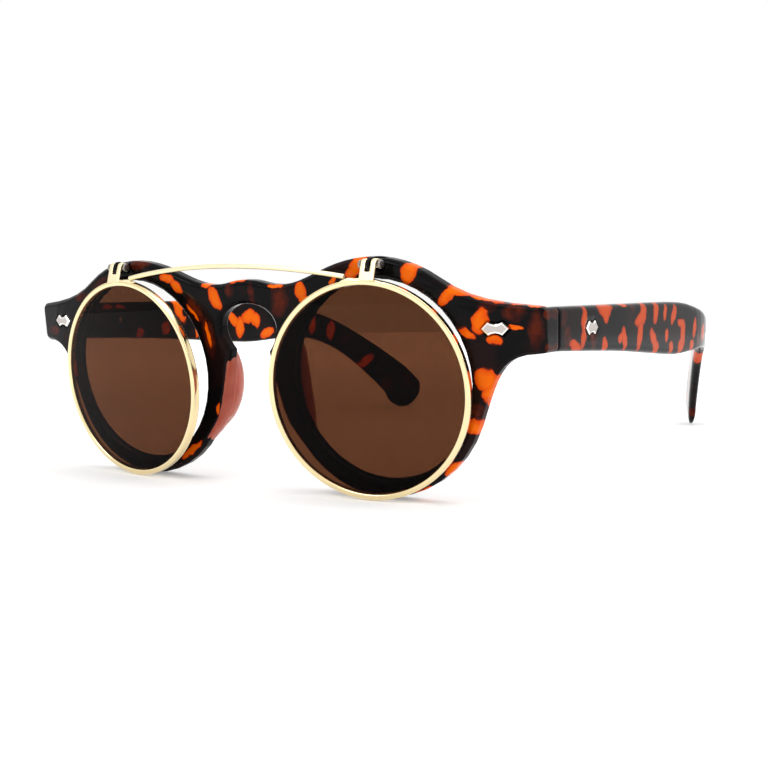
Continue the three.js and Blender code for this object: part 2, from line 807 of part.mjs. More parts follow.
// Base: the anchor block with a tongue that carries the pin between the prongs
function baseGeometry() {
  const radius = knuckleRadius - seatGap / 2;
  const face = faceDepth(strapX) + anchorDepth / 2;
  const low = pinZ - anchorHeight / 2;
  const high = pinZ + anchorHeight / 2;
  const tongue = eyeShape([
    ...pinArc(radius, tongueArcStart, tongueArcEnd),
    new THREE.Vector2(face, high),
    new THREE.Vector2(face, low),
  ].reverse());
  const plate = solid(prismYZ(tongue, strapX - tongueWidth / 2, strapX + tongueWidth / 2));
  return geometryOf(solid(anchorGeometry(0)).add(plate));
}

// Pin through the flip hinge, headed at both ends
function flipPinGeometry() {
  const reach = strapWidth / 2 + seatGap;
  const shank = solid(bar(flipPinRadius, 'x', -reach - flipPinHead / 2, reach + flipPinHead / 2));
  const left = solid(bar(flipPinHeadRadius, 'x', -reach - flipPinHead, -reach));
  const right = solid(bar(flipPinHeadRadius, 'x', reach, reach + flipPinHead));
  return geometryOf(shank.add(left).add(right)).translate(strapX, pinY, pinZ);
}

// Bridge wire: one bowed wire from lug to lug
function bridgeWireGeometry() {
  const half = rad(saddleHalfAngle);
  const lugEnd = saddleOuter * Math.sin(half);
  const endX = flipX - lugEnd * Math.cos(rad(flipWrap)) - seatGap;
  const endY = flipSetback - lugEnd * Math.sin(rad(flipWrap));
  const endZ = saddleOuter * Math.cos(half) - saddleThickness + wireRadius;
  const path = new THREE.QuadraticBezierCurve3(
    new THREE.Vector3(-endX, endY, endZ),
    new THREE.Vector3(0, endY - 2 * wireBow, endZ + 2 * wireRise),
    new THREE.Vector3(endX, endY, endZ),
  );
  const ring = new THREE.Path().absarc(0, 0, wireRadius, 0, 2 * Math.PI, false);
  const section = new THREE.Shape(ring.getPoints(wireSides).slice(0, -1));
  return new THREE.ExtrudeGeometry(section, { steps: wireSteps, extrudePath: path, bevelEnabled: false });
}

// Finishes
function finish(color, roughness, metalness) {
  return () => new THREE.MeshStandardMaterial({ color, roughness, metalness });
}
const tortoise = finish(0x4a1f12, 0.2, 0);
const redBrown = finish(0x8c3a2c, 0.25, 0);
const brownTint = finish(0x5a3826, 0.1, 0);
const clear = finish(0xf2f2ee, 0.05, 0);
const gold = finish(0xe0c890, 0.25, 1);
const silver = finish(0xc8c6c0, 0.35, 1);
const darkMetal = finish(0x282424, 0.45, 1);

const glasses = new THREE.Group();
const front = new THREE.Group();
front.rotation.x = rad(frontTilt);
glasses.add(front);

function addPiece(group, name, geometry, material) {
  const mesh = new THREE.Mesh(geometry, material());
  mesh.name = name;
  group.add(mesh);
}

// A pair of pieces, the right one mirrored from the left
function addPair(group, name, geometry, material) {
  addPiece(group, `left_${name}`, geometry, material);
  addPiece(group, `right_${name}`, mirrored(geometry), material);
}

addPiece(front, 'front_frame', frontGeometry(), tortoise);
addPair(front, 'clear_lens', clearLensGeometry(), clear);
addPair(front, 'nose_pad', padGeometry(), redBrown);
addPair(front, 'front_rivet', placeFrontRivet(rivetGeometry(frontPost, 0)), silver);
addPair(front, 'flip_hinge_base', baseGeometry(), darkMetal);
addPair(front, 'flip_hinge_pin', flipPinGeometry(), silver);
addPair(glasses, 'front_hinge_leaf', frontLeafGeometry(), darkMetal);
addPair(glasses, 'temple_hinge_screw', screwGeometry(), silver);
addPair(glasses, 'temple', drilledTemple(), tortoise);
addPair(glasses, 'temple_hinge_leaf', templeLeafGeometry(), darkMetal);
addPair(glasses, 'temple_rivet', placeTempleRivet(rivetGeometry(templePost, 0)), silver);
addPair(front, 'flip_strap', strapGeometry(), gold);
addPiece(front, 'flip_bridge', bridgeWireGeometry(), gold);

// Each wire rim turns a little outward with its lens and saddle
for (const [name, side] of [['left', 1], ['right', -1]]) {
  const holder = new THREE.Group();
  holder.position.set(side * flipX, flipSetback, 0);
  holder.rotation.z = side * rad(flipWrap);
  front.add(holder);
  const saddle = saddleGeometry();
  addPiece(holder, `${name}_flip_rim`, rimGeometry(), gold);
  addPiece(holder, `${name}_flip_lens`, flipLensGeometry(), brownTint);
  addPiece(holder, `${name}_flip_saddle`, side > 0 ? saddle : mirrored(saddle), gold);
}

// The origin lies under the middle of the glasses, on the surface they stand on
const box = new THREE.Box3().setFromObject(glasses, true);
glasses.position.y = -(box.min.y + box.max.y) / 2;
glasses.position.z = -box.min.z;

export default glasses;
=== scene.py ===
# %% [markdown]
# # Round flip-up sunglasses
# The object is a pair of sunglasses that stands on a white table. A tortoiseshell plastic front holds
# clear lenses, two temples fold behind it, and a gold wire flip-up carries brown lenses in front of it.
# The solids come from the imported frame. Each step below makes the visible piece that stands for a solid.

# %% Load the frame
import math

import bmesh
import bpy
import numpy as np
from mathutils import Matrix, Vector
from mathutils.bvhtree import BVHTree


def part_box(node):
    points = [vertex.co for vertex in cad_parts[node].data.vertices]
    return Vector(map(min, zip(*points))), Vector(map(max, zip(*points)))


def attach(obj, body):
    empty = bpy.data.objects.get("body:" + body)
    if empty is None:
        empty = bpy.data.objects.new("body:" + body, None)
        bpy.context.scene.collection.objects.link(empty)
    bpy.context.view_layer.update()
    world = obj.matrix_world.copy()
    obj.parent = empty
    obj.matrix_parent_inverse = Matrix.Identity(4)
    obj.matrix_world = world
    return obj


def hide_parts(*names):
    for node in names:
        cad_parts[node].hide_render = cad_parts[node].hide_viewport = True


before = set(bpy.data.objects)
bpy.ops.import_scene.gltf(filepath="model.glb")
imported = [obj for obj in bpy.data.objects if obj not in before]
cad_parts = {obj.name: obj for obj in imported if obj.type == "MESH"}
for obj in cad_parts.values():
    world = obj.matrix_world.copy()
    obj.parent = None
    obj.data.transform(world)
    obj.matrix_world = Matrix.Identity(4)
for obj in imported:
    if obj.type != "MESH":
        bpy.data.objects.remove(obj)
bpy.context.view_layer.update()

MM = 0.001
scene = bpy.context.scene
scene.view_settings.view_transform = "Standard"
print("nodes in the frame:", len(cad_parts))

# %% [markdown]
# ## The camera
# A camera could be aimed with a constraint, but then it would have no roll. Here its matrix is put
# together from the direction it looks in and the direction that is up in the picture.

# %% Camera
PICTURE_SIDE = 768
FOCAL_LENGTH_IN_PIXELS = 1200
SENSOR_WIDTH = 36
NEAREST_SEEN = 0.01
camera_place = Vector((0.16940, -0.28370, 0.04828))
look = Vector((-0.53480, 0.83966, -0.09459)).normalized()
picture_up = Vector((-0.04130, 0.08584, 0.99545))
picture_right = look.cross(picture_up).normalized()
picture_up = picture_right.cross(look)

camera_data = bpy.data.cameras.new("camera")
camera_data.sensor_width = SENSOR_WIDTH
camera_data.lens = SENSOR_WIDTH * FOCAL_LENGTH_IN_PIXELS / PICTURE_SIDE
camera_data.clip_start = NEAREST_SEEN
camera = bpy.data.objects.new("camera", camera_data)
scene.collection.objects.link(camera)
turn = Matrix((picture_right, picture_up, -look)).transposed()
camera.matrix_world = Matrix.Translation(camera_place) @ turn.to_4x4()
scene.camera = camera
print("lens:", round(camera_data.lens, 2), "mm")

# %% [markdown]
# ## A small kit for node materials
# Every finish below is a node tree. Short helpers keep the trees readable: one adds a node and sets its
# inputs, one starts a material whose shader already has its plain values, and the others are the few
# calculations that come back in several trees.

# %% Node helpers
WHITE = (1, 1, 1, 1)


def srgb(red, green, blue):
    """A colour as it is seen on screen, from 0 to 255, as the linear colour that shaders use."""
    seen = [value / 255 for value in (red, green, blue)]
    linear = [v / 12.92 if v <= 0.04045 else ((v + 0.055) / 1.055) ** 2.4 for v in seen]
    return (*linear, 1)


def add_node(tree, kind, settings=None, **inputs):
    """A new node. An input is a value, or the output socket of another node."""
    node = tree.nodes.new(kind)
    for name, value in (settings or {}).items():
        setattr(node, name, value)
    for name, value in inputs.items():
        socket = node.inputs[int(name[1:])] if name[1:].isdigit() else node.inputs[name.replace("_", " ")]
        if isinstance(value, bpy.types.NodeSocket):
            tree.links.new(value, socket)
        else:
            socket.default_value = value
    return node


def new_finish(name, **values):
    """A material with a Principled shader, and its tree and shader."""
    material = bpy.data.materials.new(name)
    material.use_nodes = True
    shader = material.node_tree.nodes["Principled BSDF"]
    for socket, value in values.items():
        shader.inputs[socket.replace("_", " ")].default_value = value
    return material, material.node_tree, shader


def ramp(tree, factor, stops):
    """A colour ramp with the given (position, colour) stops."""
    node = add_node(tree, "ShaderNodeValToRGB", i0=factor)
    elements = node.color_ramp.elements
    while len(elements) < len(stops):
        elements.new(1)
    for element, (position, colour) in zip(elements, stops):
        element.position = position
        element.color = colour
    return node.outputs["Color"]


# %% Calculations in a node tree
def calculated(tree, operation, first, second):
    """The result of one operation on two values."""
    return add_node(tree, "ShaderNodeMath", {"operation": operation}, i0=first, i1=second).outputs["Value"]


def stretched(tree, value, low, high, at_low, at_high, interpolation="LINEAR"):
    """A value stretched from one range to another."""
    node = add_node(tree, "ShaderNodeMapRange", {"interpolation_type": interpolation}, i0=value,
                    i1=low, i2=high, i3=at_low, i4=at_high)
    return node.outputs["Result"]


def fade(tree, value, full, none):
    """1 where a value is at full, 0 where it is at none."""
    return stretched(tree, value, full, none, 1.0, 0.0)


def mixed(tree, factor, first, second):
    """A colour between two colours."""
    return add_node(tree, "ShaderNodeMix", {"data_type": "RGBA"}, i0=factor, i6=first, i7=second).outputs[2]


def looked_at(tree):
    """1 where the camera, a lens or a polished piece looks, 0 where light only falls."""
    rays = add_node(tree, "ShaderNodeLightPath").outputs
    through = calculated(tree, "MAXIMUM", rays["Is Camera Ray"], rays["Is Transmission Ray"])
    return calculated(tree, "MAXIMUM", through, rays["Is Glossy Ray"])


print("node helpers ready")

# %% [markdown]
# ## The white table and the light
# A white picture could be burnt in with strong lamps, but then every colour would wash out. Here the
# lamps stay at a plain level. The table is white and takes the shadow, and the world is white where the
# camera, a lens or a polished piece looks at it.

# %% World
AMBIENT = 0.55
world = bpy.data.worlds.new("studio")
world.use_nodes = True
scene.world = world
tree = world.node_tree
background = tree.nodes["Background"]
level = add_node(tree, "ShaderNodeMix", i0=looked_at(tree), i2=AMBIENT, i3=1.0)
tree.links.new(level.outputs["Result"], background.inputs["Strength"])
background.inputs["Color"].default_value = WHITE
print("world ready")

# %% [markdown]
# The table is a disc. Its shadow falls off within a hand's breadth of the glasses, and farther out the
# disc glows a little, so that its edge melts into the white world.

# %% Table
TABLE_RADIUS = 0.6
TABLE_SIDES = 96
TABLE_WHITE = (0.93, 0.93, 0.93, 1)
TABLE_ROUGHNESS = 0.9
NEAR_GLOW = 0.26
FAR_GLOW = 0.62
GLOW_STARTS = 0.12
GLOW_ENDS = 0.36


def piece_of(form, name):
    """A new object from a drawn form, which is then freed."""
    mesh = bpy.data.meshes.new(name)
    form.to_mesh(mesh)
    form.free()
    piece = bpy.data.objects.new(name, mesh)
    scene.collection.objects.link(piece)
    return piece


table_form = bmesh.new()
bmesh.ops.create_circle(table_form, cap_ends=True, segments=TABLE_SIDES, radius=TABLE_RADIUS)
table = piece_of(table_form, "table")
finish, tree, shader = new_finish("white_table", Roughness=TABLE_ROUGHNESS, Specular_IOR_Level=0.0)
shader.inputs["Base Color"].default_value = TABLE_WHITE
shader.inputs["Emission Color"].default_value = WHITE
place = add_node(tree, "ShaderNodeTexCoord")
out = add_node(tree, "ShaderNodeVectorMath", {"operation": "LENGTH"}, i0=place.outputs["Object"])
glow = stretched(tree, out.outputs["Value"], GLOW_STARTS, GLOW_ENDS, NEAR_GLOW, FAR_GLOW, "SMOOTHSTEP")
glow = calculated(tree, "MULTIPLY", looked_at(tree), glow)
tree.links.new(glow, shader.inputs["Emission Strength"])
table.data.materials.append(finish)
print("table ready")

# %% [markdown]
# Three square area lamps light the glasses from above, from the front and from the side. A large lamp
# throws a soft shadow and shows as a broad highlight on polished plastic.

# %% Lamps
def soft_box(name, place, aim, side, power):
    """A square area lamp that points at a place on the object."""
    data = bpy.data.lights.new(name, "AREA")
    data.shape = "SQUARE"
    data.size = side
    data.energy = power
    lamp = bpy.data.objects.new(name, data)
    scene.collection.objects.link(lamp)
    lamp.location = place
    lamp.rotation_euler = (Vector(aim) - Vector(place)).to_track_quat("-Z", "Y").to_euler()


soft_box("top_box", place=(0.05, 0.05, 0.75), aim=(0, 0, 0.02), side=0.7, power=2.6)
soft_box("front_box", place=(-0.25, -0.75, 0.65), aim=(0, -0.05, 0.03), side=0.4, power=2.2)
soft_box("side_box", place=(0.75, 0.1, 0.45), aim=(0, 0, 0.03), side=0.4, power=1.5)

# %% [markdown]
# ## Tortoiseshell plastic
# Real tortoiseshell sheet is made of dark and amber plastic pressed together, so each patch runs right
# through the thickness. A noise texture alone puts the patches anywhere. Here each patch is an ellipse
# with a place, two half sizes and a turn, drawn in the plane of the piece, and noise bends its edge.
# The nearest amber patch gives one distance, and dark drops bite into it, so that amber is left between
# them. The distance becomes colour: amber inside, a thin red-brown edge, near black outside. A third
# list holds the shades, where the dark plastic is only red brown.

# %% Distance to the nearest patch
AMBER = srgb(255, 112, 4)
DEEP_AMBER = srgb(238, 76, 4)
DULL_AMBER = srgb(212, 78, 22)
DULL_DEEP_AMBER = srgb(184, 58, 14)
RED_BROWN = srgb(92, 28, 14)
DIM_SHADE = srgb(50, 16, 13)
WARM_SHADE = srgb(90, 30, 12)
NEAR_BLACK = srgb(13, 12, 14)
WARM_BLACK = srgb(32, 16, 15)
EDGE_WANDER = 0.9 * MM
EDGE_GRAIN = 330
CLOUD_GRAIN = 95
STREAK_GRAIN = 4 * CLOUD_GRAIN
CLOUD_BLACK, CLOUD_WARM = 0.50, 0.64
STREAK_DIM, STREAK_WARM = 0.38, 0.62
SHADE_FULL, SHADE_NONE = 0.6, 1.2
BROWN_FULL, BROWN_NONE = 1.03, 1.16
AMBER_CORE, AMBER_EDGE = 0.55, 1.0
AMBER_FULL, AMBER_NONE = 0.96, 1.05
NOISE_LOW, NOISE_HIGH = 0.3, 0.7
POLISHED, WORN = 0.06, 0.12


def nearest_patch(tree, flat, patches, level):
    """The distance to the nearest patch, where 1 is on its edge."""
    nearest = None
    for along, height, half_length, half_width, angle in patches:
        ellipse = add_node(tree, "ShaderNodeMapping", {"vector_type": "TEXTURE"}, i0=flat,
                           Location=(along * MM, level + height * MM, 0),
                           Rotation=(0, 0, math.radians(angle)),
                           Scale=(half_length * MM, half_width * MM, 1))
        length = add_node(tree, "ShaderNodeVectorMath", {"operation": "LENGTH"}, i0=ellipse.outputs["Vector"])
        distance = length.outputs["Value"]
        nearest = distance if nearest is None else calculated(tree, "MINIMUM", nearest, distance)
    return nearest


print("distance helper ready")

# %% [markdown]
# The finish itself is one function, because front and temples differ only in their patches, in the axis
# these are counted along, in their gloss and in how bright the amber is.

# %% Tortoiseshell finish
def tortoiseshell(name, patches, drops, shades, across, level, gloss, bright, deep):
    """Plastic with patches given in millimetres along one axis and in height over a level."""
    material, tree, shader = new_finish(name, IOR=gloss)
    place = add_node(tree, "ShaderNodeTexCoord").outputs["Object"]
    noise = add_node(tree, "ShaderNodeTexNoise", Vector=place, Scale=EDGE_GRAIN, Detail=2.0)
    centred = add_node(tree, "ShaderNodeVectorMath", {"operation": "SUBTRACT"}, i0=noise.outputs["Color"],
                       i1=(0.5, 0.5, 0.5))
    wander = add_node(tree, "ShaderNodeVectorMath", {"operation": "SCALE"}, i0=centred.outputs["Vector"],
                      Scale=2 * EDGE_WANDER)
    moved = add_node(tree, "ShaderNodeVectorMath", {"operation": "ADD"}, i0=place,
                     i1=wander.outputs["Vector"])
    parts = add_node(tree, "ShaderNodeSeparateXYZ", i0=moved.outputs["Vector"]).outputs
    flat = add_node(tree, "ShaderNodeCombineXYZ", i0=parts[across], i1=parts["Z"]).outputs["Vector"]
    cloud = add_node(tree, "ShaderNodeTexNoise", Vector=place, Scale=CLOUD_GRAIN, Detail=3.0).outputs["Fac"]
    streak = add_node(tree, "ShaderNodeTexNoise", Vector=place, Scale=STREAK_GRAIN, Detail=3.0).outputs["Fac"]
    dark = ramp(tree, cloud, [(CLOUD_BLACK, NEAR_BLACK), (CLOUD_WARM, WARM_BLACK)])
    shade = nearest_patch(tree, flat, shades, level)
    shade_colour = ramp(tree, streak, [(STREAK_DIM, DIM_SHADE), (STREAK_WARM, WARM_SHADE)])
    dark = mixed(tree, fade(tree, shade, SHADE_FULL, SHADE_NONE), dark, shade_colour)
    amber = nearest_patch(tree, flat, patches, level)
    drop = nearest_patch(tree, flat, drops, level)
    bite = calculated(tree, "SUBTRACT", 2.0, drop)
    patch = calculated(tree, "MAXIMUM", amber, bite)
    dark = mixed(tree, fade(tree, patch, BROWN_FULL, BROWN_NONE), dark, RED_BROWN)
    amber_colour = mixed(tree, fade(tree, patch, AMBER_CORE, AMBER_EDGE), deep, bright)
    colour = mixed(tree, fade(tree, patch, AMBER_FULL, AMBER_NONE), dark, amber_colour)
    tree.links.new(colour, shader.inputs["Base Color"])
    polish = stretched(tree, cloud, NOISE_LOW, NOISE_HIGH, POLISHED, WORN)
    tree.links.new(polish, shader.inputs["Roughness"])
    print(name, "has", len(patches), "patches,", len(drops), "drops and", len(shades), "shades")
    return material


# %% [markdown]
# The patches of the front are placed across it and over the middle of the flip-up's rims. Those of the
# temples are placed along them and over the table. Each entry is the place along, the height, the half
# length and the half width in millimetres, and the turn in degrees.

# %% Patches of the front and the temples
rim_low, rim_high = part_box("left_flip_rim")
rim_level = (rim_low.z + rim_high.z) / 2
FRONT_GLOSS = 1.15
TEMPLE_GLOSS = 1.13
front_patches = [
    (51.6, 20.2, 3.3, 1.1, 42), (53.2, 20.8, 2.6, 0.9, -20), (57.8, 14.6, 2.9, 1.5, 78),
    # The thin patches at 56.4, 60.0, 63.4 and 66.0 mm along hug the brow's top edge: they paint the orange
    # highlight that runs along that edge.
    (54.7, 12.3, 2.4, 0.9, -38), (56.4, 19.75, 3.4, 0.32, -16), (60.0, 18.75, 3.0, 0.32, -13),
    (63.4, 18.1, 2.8, 0.38, -9), (66.0, 17.9, 3.4, 0.4, -9), (64.8, 13.5, 1.6, 0.5, -5),
    (60.6, 10.9, 1.5, 1.1, -5), (58.4, 3.0, 2.3, 2.3, 0), (58.7, -1.0, 3.4, 1.4, 78),
    (56.0, -6.6, 2.4, 1.5, 48), (50.4, -16.2, 2.4, 1.0, 42), (43.6, -21.4, 2.4, 0.8, 24),
    (42.6, 24.3, 2.7, 1.6, 62), (30.8, 26.5, 2.6, 1.6, 60), (29.4, 24.2, 2.1, 1.3, 30),
    (24.2, 22.8, 1.3, 0.6, 28), (15.6, 20.6, 1.9, 1.5, -85), (16.3, 18.8, 1.3, 1.0, 0),
    (8.6, 21.8, 2.2, 0.45, -8), (-22.6, 23.6, 2.3, 1.0, -6), (-19.7, 21.7, 2.2, 1.1, -50),
    (-15.2, 15.6, 2.4, 0.4, -52), (-8.5, 19.0, 2.8, 1.5, -62), (-11.1, 10.4, 3.0, 0.5, -82),
    (-10.7, 22.3, 1.5, 0.8, 20), (-2.6, 23.0, 2.8, 0.55, 0), (-19.1, -16.8, 4.0, 0.8, 38),
    (-10.2, -6.4, 1.5, 0.5, 70), (-36.0, -23.4, 2.4, 0.7, 0), (-57.5, 2.3, 3.0, 1.0, -74),
    (30.0, -23.6, 2.2, 0.7, 0),
]
front_drops = [
    (53.4, 16.0, 3.3, 2.8, 75), (62.0, 16.0, 3.0, 2.3, 0), (60.6, 7.5, 4.4, 2.7, 8),
    (56.2, -2.2, 1.6, 3.4, 8), (45.9, 25.0, 1.4, 1.9, 20), (27.0, 26.4, 1.9, 1.5, 30),
    (-24.2, 21.8, 2.6, 1.3, 0), (-11.6, 18.2, 1.6, 2.0, 20),
]
front_shades = [
    (9.8, 18.6, 3.4, 2.2, 80), (68.6, 12.9, 3.6, 1.4, 90), (70.6, 16.0, 1.2, 0.5, 90),
    (70.6, 8.8, 1.2, 0.5, 90), (59.4, 17.6, 2.4, 1.4, 28), (-31.2, 26.8, 3.4, 1.1, 0),
    (-52.0, 19.2, 2.8, 1.1, 10), (-44.3, 22.7, 3.2, 0.9, 22), (-65.4, 10.6, 2.6, 1.1, 4),
    (-14.6, 16.8, 3.8, 1.5, -56), (-11.0, 10.2, 4.4, 1.7, -82), (2.0, 20.0, 1.0, 2.4, 0),
    (-4.0, 20.8, 1.4, 1.6, 0), (64.6, 16.2, 2.2, 1.6, 0), (56.4, -3.6, 1.2, 1.6, 0),
]
left_patches = [
    (-50.7, 36.0, 4.8, 1.4, 84), (-54.6, 32.3, 3.4, 1.0, -14), (-38.9, 39.5, 4.0, 1.9, 0),
    (-38.6, 37.8, 1.4, 1.6, 0), (-39.0, 31.6, 2.0, 1.3, -56), (-27.8, 32.2, 2.8, 1.3, -76),
    (-30.0, 32.6, 1.6, 0.8, 10), (-27.4, 40.1, 2.4, 0.5, 0), (-15.9, 37.6, 2.8, 2.0, 75),
    (-18.4, 36.2, 3.2, 1.5, 22), (-17.9, 32.8, 3.9, 1.7, 72), (-7.4, 37.7, 2.7, 1.7, 70),
    (-1.1, 37.4, 2.1, 1.1, 80), (5.2, 36.4, 2.8, 1.5, 60), (-8.9, 31.0, 3.4, 1.6, -52),
    (-7.0, 29.0, 2.0, 1.6, -70), (0.3, 31.7, 1.7, 1.3, 50), (3.7, 28.6, 1.6, 1.3, 70),
    (11.0, 34.2, 2.9, 1.2, -8), (12.2, 31.4, 3.5, 2.0, 80), (10.8, 28.4, 2.0, 1.8, 50),
    (21.5, 32.5, 2.8, 1.3, 70), (19.5, 28.0, 1.7, 1.4, 60), (31.0, 31.0, 2.6, 2.0, 30),
    (48.8, 22.6, 3.6, 2.4, -45), (40.0, 33.0, 1.8, 1.4, 0), (58.9, 21.6, 2.6, 1.5, 50),
    (64.8, 17.8, 2.2, 1.2, -30), (69.6, 13.2, 2.4, 1.3, 60), (75.2, 8.4, 2.2, 1.4, 20),
]
left_drops = [
    (-43.2, 37.0, 2.6, 1.9, -30), (-34.6, 37.2, 2.5, 2.0, 30), (-13.2, 33.0, 1.6, 2.4, 0),
    (-22.0, 33.6, 2.2, 1.8, 0), (15.4, 34.6, 1.4, 1.8, 0), (-53.6, 35.6, 2.0, 2.2, 0),
]
left_shades = [
    (-60.5, 38.4, 2.2, 1.4, 60), (-59.0, 34.2, 1.8, 2.2, 0), (-45.5, 33.4, 1.6, 2.2, 0),
    (26.0, 30.0, 2.6, 2.4, 0), (-22.6, 39.4, 1.4, 1.2, 0), (70.2, 4.4, 1.6, 1.2, -50),
]
right_patches = [
    (-22.4, 37.8, 4.4, 2.0, -62), (1.6, 33.8, 3.4, 1.6, -42), (4.8, 31.2, 3.2, 2.0, 84),
    (9.4, 34.4, 3.6, 2.2, 10), (12.6, 33.2, 2.8, 2.2, -50), (18.6, 28.8, 3.4, 1.7, 10),
    (-14.6, 31.6, 2.6, 0.9, 80), (-50.8, 38.0, 2.6, 1.8, 20), (-45.6, 38.6, 2.2, 1.2, 0),
    (-38.3, 31.6, 1.6, 1.4, 0), (-27.9, 32.6, 1.8, 1.8, 0), (-10.0, 33.0, 2.6, 1.2, 60),
    (39.8, 31.0, 1.4, 3.4, 0), (47.0, 28.4, 1.4, 3.0, -10), (60.5, 17.5, 3.0, 1.5, 40),
]
right_drops = [
    (5.8, 36.8, 1.9, 1.4, 0), (11.0, 29.8, 2.6, 2.0, 0), (-19.4, 37.6, 1.4, 2.2, -30),
]
right_shades = [
    (24.0, 34.0, 1.4, 3.0, 0), (33.0, 30.0, 1.4, 2.4, 0), (-14.8, 34.4, 2.0, 1.6, 0),
    (52.6, 25.4, 3.0, 1.6, 40), (68.5, 8.6, 3.0, 2.2, 0), (77.0, 9.0, 2.0, 2.4, 0),
]
front_plastic = tortoiseshell("front_tortoiseshell", front_patches, front_drops, front_shades,
                              "X", rim_level, FRONT_GLOSS, AMBER, DEEP_AMBER)
left_plastic = tortoiseshell("left_temple_tortoiseshell", left_patches, left_drops, left_shades,
                             "Y", 0, TEMPLE_GLOSS, DULL_AMBER, DULL_DEEP_AMBER)
right_plastic = tortoiseshell("right_temple_tortoiseshell", right_patches, right_drops, right_shades,
                              "Y", 0, TEMPLE_GLOSS, AMBER, DEEP_AMBER)

# %% [markdown]
# ## Moulded plastic
# The solids have flat facets and sharp edges, and polished plastic has neither. A bevel modifier could
# round single edges, but it fails where many facets meet. So the piece is rebuilt from small voxels and
# then smoothed: each edge gets a soft radius of a few voxels, as tumbling in a barrel gives it.

# %% Moulded copy of a solid
WELD_REACH = 0.001 * MM


def show(piece, body, slot, finish, *nodes):
    """Gives a piece its finish, lets it ride on a body and hides the nodes that it stands for."""
    piece.data.materials.clear()
    piece.data.materials.append(finish)
    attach(piece, body)
    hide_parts(*nodes)


def finished(rough):
    """The mesh object that a rough object makes with its modifiers. The rough object is removed."""
    bpy.context.view_layer.update()
    mesh = bpy.data.meshes.new_from_object(rough.evaluated_get(bpy.context.evaluated_depsgraph_get()))
    mesh.name = rough.name.removesuffix("_rough")
    bpy.data.objects.remove(rough)
    mesh.shade_smooth()
    piece = bpy.data.objects.new(mesh.name, mesh)
    scene.collection.objects.link(piece)
    print(piece.name, "has", len(mesh.polygons), "faces")
    return piece


def moulded(name, mesh, voxel, passes):
    """A piece rebuilt from a mesh with rounded edges and smooth shading."""
    rough = bpy.data.objects.new(name + "_rough", mesh)
    scene.collection.objects.link(rough)
    weld = rough.modifiers.new("weld", "WELD")
    weld.merge_threshold = WELD_REACH
    remesh = rough.modifiers.new("voxels", "REMESH")
    remesh.mode = "VOXEL"
    remesh.voxel_size = voxel
    smooth = rough.modifiers.new("tumbling", "SMOOTH")
    smooth.iterations = passes
    return finished(rough)


def moulded_copy(name, node, voxel, passes):
    """A moulded copy of a node."""
    return moulded(name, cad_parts[node].data.copy(), voxel, passes)


# %% [markdown]
# The front has crisp edges, so it gets small voxels and few passes of smoothing. The temples are rounder
# and get more.

# %% Front and temples
FRONT_VOXEL, FRONT_PASSES = 0.2 * MM, 6
TEMPLE_VOXEL, TEMPLE_PASSES = 0.3 * MM, 30
front = moulded_copy("front", "front_frame", FRONT_VOXEL, FRONT_PASSES)
show(front, "front", "tortoiseshell", front_plastic, "front_frame")
for side, plastic in (("left", left_plastic), ("right", right_plastic)):
    temple = moulded_copy(f"{side}_temple_arm", f"{side}_temple", TEMPLE_VOXEL, TEMPLE_PASSES)
    show(temple, f"{side}_temple_body", "tortoiseshell", plastic, f"{side}_temple")

# %% [markdown]
# ## Nose pads
# The pads are red-brown plastic that lets light through. Volume absorption would show the glow best but
# renders slowly, so the light is spread under the surface.

# %% Pad plastic
PAD_DEEP, PAD_PALE = srgb(196, 92, 70), srgb(214, 112, 88)
PAD_GRAIN = 160.0
HAZE_DEEP, HAZE_PALE = 0.35, 0.65
LIGHT_REACH = (1.0, 0.45, 0.3)
pad_plastic, tree, shader = new_finish("pad_plastic", Roughness=0.18, IOR=1.3, Subsurface_Weight=0.7,
                                       Subsurface_Scale=1.6 * MM, Transmission_Weight=0.2)
shader.inputs["Subsurface Radius"].default_value = LIGHT_REACH
place = add_node(tree, "ShaderNodeTexCoord")
haze = add_node(tree, "ShaderNodeTexNoise", Vector=place.outputs["Object"], Scale=PAD_GRAIN, Detail=2.0)
tint = ramp(tree, haze.outputs["Fac"], [(HAZE_DEEP, PAD_DEEP), (HAZE_PALE, PAD_PALE)])
tree.links.new(tint, shader.inputs["Base Color"])
print("pad finish:", pad_plastic.name)

# %% [markdown]
# The pads grow out of the sides of the nose gap, so a thin skirt covers the plastic wall between the
# front face and the pad. The skirt is found by rays cast from the middle of the nose gap to the wall. It
# stands a little off the wall, flares toward the pad and dips into the wall at both ends. Skirt and pad are
# then rebuilt as one smooth form.

# %% Wall of the nose gap
FRONT_TILT = math.radians(5.06)
FLIP_SETBACK = 0.6 * MM
SKIRT_TOP, SKIRT_BOTTOM = 8.8 * MM, -18.6 * MM
SKIRT_FRONT, SKIRT_BACK = 4.15 * MM, 8.3 * MM
WALL_BACK = 7.4 * MM
SKIRT_ROWS, SKIRT_COLUMNS = 40, 10
SKIRT_COVER, SKIRT_FLARE, SKIRT_DEPTH = 0.25 * MM, 1.1 * MM, 1.9 * MM
SKIRT_DIP = 1.0 * MM
SKIRT_END_BACK = 6.4 * MM
SKIRT_TAPER = 5
lean = Matrix.Rotation(FRONT_TILT, 4, "X")
wall_form = bmesh.new()
wall_form.from_mesh(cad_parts["front_frame"].data)
wall_tree = BVHTree.FromBMesh(wall_form)
wall_form.free()


def leaning(depth, height):
    """A point in the middle of the nose gap, from its depth and height in the leaning front."""
    middle = Vector((0, (rim_low.y + rim_high.y) / 2, rim_level))
    return middle + lean @ Vector((0, depth - FLIP_SETBACK, height))


print("skirt points on each side:", SKIRT_ROWS * SKIRT_COLUMNS)

# %% Pads with their skirts
PAD_VOXEL, PAD_PASSES = 0.22 * MM, 26


